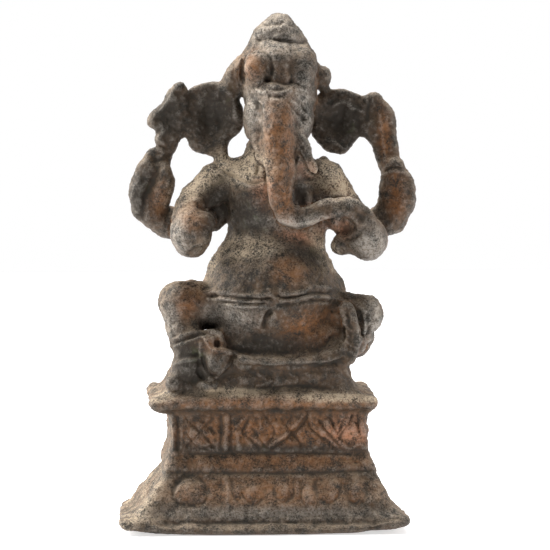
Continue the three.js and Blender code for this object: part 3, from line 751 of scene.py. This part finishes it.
def weather_and_paint_light(skin):
    """Stores on the points: hollows with painted shade, worn ridges, dust with painted light, warm and copper tones,
    painted shade with green spots, and painted sheen.
    """
    normals = skin.normals()
    back = 1 - reach(FRONT, skin, normals)
    broken = 0.5 + 0.5 * waves(skin.points, 7.0, 21)
    upward = np.clip(normals[:, 2], 0, 1) ** 1.5
    # Faces turned to the left and back get painted light, as from the lamp on the left.
    left_lit_side = np.clip(-normals[:, 0] * 0.8 + normals[:, 1] * 0.4, 0, 1)
    facts = {
        # Dark wax in fine hollows, and painted shade in the broad hollows between parts.
        "hollow_wax_and_shade": np.clip(hollows["fine"] * 6, 0, 1) + np.clip(hollows["broad"] * 0.9 - 0.15, 0, 1),
        "worn": np.clip(-hollows["fine"] * 7, 0, 1) + np.clip(-hollows["broad"] * 0.5 - 0.1, 0, 1) * 0.5,
        # Dust on what faces up, with painted light on left-facing sides and in lit patches.
        "dust_and_light": patches(skin, DUST_AND_LIGHT_PATCHES) + 0.45 * upward + 0.3 * left_lit_side,
        "warm": patches(skin, WARM_PATCHES) + 0.6 * back * np.clip(broken, 0, 1),
        "copper": patches(skin, COPPER_PATCHES),
        # Painted shade, with spots of green patina inside it.
        "shade_and_green": patches(skin, SHADE_PATCHES),
        # Painted sheen.
        "painted_sheen": patches(skin, SHEEN_PATCHES),
    }
    for name, values in facts.items():
        store(skin.mesh, name, values)
        print(f"  {name}: mean {np.clip(values, 0, 1).mean():.2f}")


print("Weathering:")
weather_and_paint_light(skin)
skin.keep()

# %% [markdown]
# ## Fewer triangles
#
# The skin has far more triangles than its shape needs. Decimation collapses edges where the surface is flat
# and keeps them where it is chased.

# %% Thin out the mesh
TRIANGLES = 190000


def thin_out(piece, wanted):
    mesh = piece.data
    triangles = sum(read(mesh.polygons, "loop_total", 1, np.int32) - 2)
    mesh = applied(piece, "DECIMATE", ratio=wanted / triangles, use_collapse_triangulate=True)
    mesh.polygons.foreach_set("use_smooth", np.ones(len(mesh.polygons), bool))
    mesh.update()
    print(f"{triangles} triangles thinned out to {len(mesh.polygons)}")


thin_out(bronze, TRIANGLES)

# %% [markdown]
# ## Writing a patina as sums
#
# A material's masks are arithmetic. The small class below wraps a socket, so an expression such as
# `1 - hollow * 0.5` adds the Math nodes that work it out.

# %% Nodes as expressions
class Value:
    """A socket that takes part in sums."""

    def __init__(self, patina, socket):
        self.patina, self.socket = patina, socket

    def math(self, operation, first, second):
        return self.patina.node("ShaderNodeMath", {"operation": operation}, {0: first, 1: second})

    def __add__(self, other):
        return self.math("ADD", self, other)

    def __radd__(self, other):
        return self.math("ADD", other, self)

    def __sub__(self, other):
        return self.math("SUBTRACT", self, other)

    def __rsub__(self, other):
        return self.math("SUBTRACT", other, self)

    def __mul__(self, other):
        return self.math("MULTIPLY", self, other)

    def __rmul__(self, other):
        return self.math("MULTIPLY", other, self)

    def clamped(self):
        return self.patina.node("ShaderNodeClamp", {}, {"Value": self})


class Patina:
    """A material and its nodes."""

    def __init__(self, name):
        self.material = bpy.data.materials.new(name)
        self.material.use_nodes = True
        self.tree = self.material.node_tree
        self.shader = self.tree.nodes["Principled BSDF"]

    def feed(self, socket, value):
        if isinstance(value, Value):
            self.tree.links.new(value.socket, socket)
        else:
            socket.default_value = value

    def node(self, kind, settings, sockets, output=0):
        made = self.tree.nodes.new(kind)
        for name, value in settings.items():
            setattr(made, name, value)
        for name, value in sockets.items():
            self.feed(made.inputs[name], value)
        return Value(self, made.outputs[output])

    def fact(self, name):
        return self.node("ShaderNodeAttribute", {"attribute_name": name}, {}, output=2)

    def noise(self, place, size, detail=4.0, roughness=0.6):
        """Noise whose blotches are about this many millimetres across, from 0 to 1."""
        sockets = {"Vector": place, "Scale": 1 / size, "Detail": detail, "Roughness": roughness}
        return self.node("ShaderNodeTexNoise", {}, sockets)

    def span(self, value, low, high):
        """Spreads the range from low to high over 0 to 1."""
        sockets = {"Value": value, "From Min": low, "From Max": high}
        return self.node("ShaderNodeMapRange", {"interpolation_type": "SMOOTHSTEP"}, sockets)

    def blend(self, share, under, over):
        first, second = 6, 7
        sockets = {"Factor": share, first: under, second: over}
        return self.node("ShaderNodeMix", {"data_type": "RGBA"}, sockets, output=2)


# %% [markdown]
# ## The patina
#
# Old bronze is several layers at once: a black oxide, brown where it is thin, raw copper tones under the
# trunk, tan dust in what faces up, and grey metal where hands rubbed it. Black also paints shade in broad hollows
# and shade patches, tan paints light on lit and left-facing sides, and grey paints sheen on chosen highlights.
# Dust and oxide don't shine, so they also take the metal away. A fine grain breaks all of them up, and the same grain
# is the bump.

# %% Bronze
BLACK = (0.020, 0.016, 0.011, 1)
BROWN = (0.085, 0.045, 0.020, 1)
WARM = (0.22, 0.085, 0.022, 1)
COPPER = (0.42, 0.19, 0.10, 1)
# Tan for dust, and also for painted light on lit sides.
TAN_DUST_AND_LIGHT = (0.50, 0.40, 0.28, 1)
# Grey for metal rubbed bare, and for painted sheen.
WORN_AND_SHEEN_GREY = (0.30, 0.28, 0.25, 1)
GREEN = (0.035, 0.045, 0.012, 1)


def old_bronze():
    patina = Patina("old_bronze")
    place = patina.node("ShaderNodeTexCoord", {}, {}, output=3)
    place = patina.node("ShaderNodeVectorMath", {"operation": "SCALE"}, {0: place, "Scale": 1 / MM})
    grain = patina.noise(place, 0.35, 5.0, 0.7)
    blotch = patina.noise(place, 2.2, 5.0, 0.65)
    drift = patina.noise(place, 9.0, 3.0, 0.5)
    hollow_wax_and_shade, worn, dust_and_light = patina.fact("hollow_wax_and_shade"), patina.fact("worn"), patina.fact("dust_and_light")
    warm, copper = patina.fact("warm"), patina.fact("copper")
    shade_and_green, painted_sheen = patina.fact("shade_and_green"), patina.fact("painted_sheen")

    brown_share = patina.span(blotch + grain * 0.5, 0.55, 0.95)
    colour = patina.blend(brown_share, BLACK, BROWN)
    colour = patina.blend((warm * patina.span(blotch + grain, 0.75, 1.2)).clamped(), colour, WARM)
    colour = patina.blend((copper * patina.span(grain + blotch, 0.8, 1.15)).clamped(), colour, COPPER)
    # Painted shade in black, and spots of green patina inside it.
    colour = patina.blend((shade_and_green * 0.85 * patina.span(blotch, 0.25, 0.55)).clamped(), colour, BLACK)
    colour = patina.blend((shade_and_green * patina.span(drift + blotch, 1.15, 1.3) * 0.6).clamped(), colour, GREEN)
    # Grey for rubbed ridges, and painted sheen where the sheen patches lie.
    wear_and_sheen = ((painted_sheen + worn * 0.7) * patina.span(grain + blotch * 0.5, 0.55, 0.95)).clamped()
    colour = patina.blend(wear_and_sheen * 0.75, colour, WORN_AND_SHEEN_GREY)
    # Tan dust, with painted light on lit and left-facing sides.
    dust_and_light_share = (dust_and_light * 1.3 * patina.span(grain + blotch * 0.6 + hollow_wax_and_shade * 0.15, 0.65, 1.0)).clamped()
    dust_and_light_share = (dust_and_light_share * (1 - shade_and_green * 0.7)).clamped()
    colour = patina.blend(dust_and_light_share, colour, TAN_DUST_AND_LIGHT)
    # Black for dark wax in hollows, which also paints shade in the broad ones.
    colour = patina.blend((hollow_wax_and_shade * 0.75 * (1 - dust_and_light * 0.8)).clamped(), colour, BLACK)

    roughness = (0.5 + grain * 0.25 + dust_and_light_share * 0.35 - wear_and_sheen * 0.2).clamped()
    metal = (0.35 + wear_and_sheen * 0.6 - dust_and_light_share * 0.9).clamped()
    relief = grain * 0.7 + patina.noise(place, 0.16, 3.0, 0.6) * 0.3 + blotch * 0.5
    sockets = {"Height": relief, "Strength": 0.8, "Distance": 0.16 * MM}
    bump = patina.node("ShaderNodeBump", {}, sockets)
    shader = patina.shader.inputs
    patina.feed(shader["Base Color"], colour)
    patina.feed(shader["Roughness"], roughness)
    patina.feed(shader["Metallic"], metal)
    patina.feed(shader["Normal"], bump)
    return patina.material


bronze.data.materials.append(old_bronze())
print("Nodes in the patina:", len(bronze.active_material.node_tree.nodes))

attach(bronze, "root")
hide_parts("ganesh_casting")

# %% [markdown]
# ## Floor, light and backdrop
#
# The picture is a studio one: a white table and a white surround, a strong soft light from the upper left and
# behind, a narrow one from the right, and little from the front. That is why every edge has a bright rim while
# the front stays dark.

# %% Floor
FLOOR_HALF = 0.5


def make_floor():
    mesh = bpy.data.meshes.new("floor")
    corners = [(-FLOOR_HALF, -FLOOR_HALF, 0), (FLOOR_HALF, -FLOOR_HALF, 0)]
    corners += [(FLOOR_HALF, FLOOR_HALF, 0), (-FLOOR_HALF, FLOOR_HALF, 0)]
    mesh.from_pydata(corners, [], [(0, 1, 2, 3)])
    floor = bpy.data.objects.new("floor", mesh)
    bpy.context.scene.collection.objects.link(floor)
    white = Patina("white_table")
    shader = white.shader.inputs
    place = white.node("ShaderNodeTexCoord", {}, {}, output=3)
    cloth = white.noise(place, 0.01)
    white.feed(shader["Roughness"], 0.8 + cloth * 0.1)
    shader["Base Color"].default_value = (0.8, 0.8, 0.8, 1)
    shader["Emission Color"].default_value = (1, 1, 1, 1)
    shader["Emission Strength"].default_value = 0.6
    mesh.materials.append(white.material)
    return floor


make_floor()

# %% Lights
LIGHTS = [
    # name, place in metres, size, power in watts
    ("overhead", (0.0, 0.08, 0.50), (0.5, 0.4), 3.0),
    ("left_rim", (-0.34, 0.10, 0.22), (0.20, 0.35), 2.2),
    ("left_front", (-0.30, -0.16, 0.30), (0.2, 0.2), 0.6),
    ("right_strip", (0.36, -0.02, 0.12), (0.08, 0.40), 0.9),
]
LOOK_AT = Vector((0, 0, 0.05))


def make_light(name, place, size, power):
    data = bpy.data.lights.new(name, "AREA")
    data.shape = "RECTANGLE"
    data.size, data.size_y = size
    data.energy = power
    light = bpy.data.objects.new(name, data)
    light.location = place
    light.rotation_euler = (LOOK_AT - light.location).to_track_quat("-Z", "Y").to_euler()
    bpy.context.scene.collection.objects.link(light)


for light in LIGHTS:
    make_light(*light)
print("Lights:", [light[0] for light in LIGHTS])

# %% Surround
SURROUND_FRONT = 0.06
SURROUND_BACK = 0.75
WHITE = (1, 1, 1, 1)


def make_surround():
    """White to the camera. As light, it is bright behind the bronze and dim in front of it."""
    world = bpy.data.worlds.new("studio")
    world.use_nodes = True
    tree = world.node_tree
    background = tree.nodes["Background"]
    path = tree.nodes.new("ShaderNodeLightPath")
    place = tree.nodes.new("ShaderNodeTexCoord")
    split = tree.nodes.new("ShaderNodeSeparateXYZ")
    depth = tree.nodes.new("ShaderNodeMapRange")
    strength = tree.nodes.new("ShaderNodeMix")
    tree.links.new(place.outputs["Generated"], split.inputs[0])
    tree.links.new(split.outputs["Y"], depth.inputs["Value"])
    depth.inputs["From Min"].default_value = -0.3
    depth.inputs["To Min"].default_value = SURROUND_FRONT
    depth.inputs["To Max"].default_value = SURROUND_BACK
    tree.links.new(path.outputs["Is Camera Ray"], strength.inputs["Factor"])
    tree.links.new(depth.outputs[0], strength.inputs[2])
    strength.inputs[3].default_value = 1.0
    tree.links.new(strength.outputs[0], background.inputs["Strength"])
    background.inputs["Color"].default_value = WHITE
    bpy.context.scene.world = world


make_surround()
bpy.context.scene.view_settings.view_transform = "Standard"
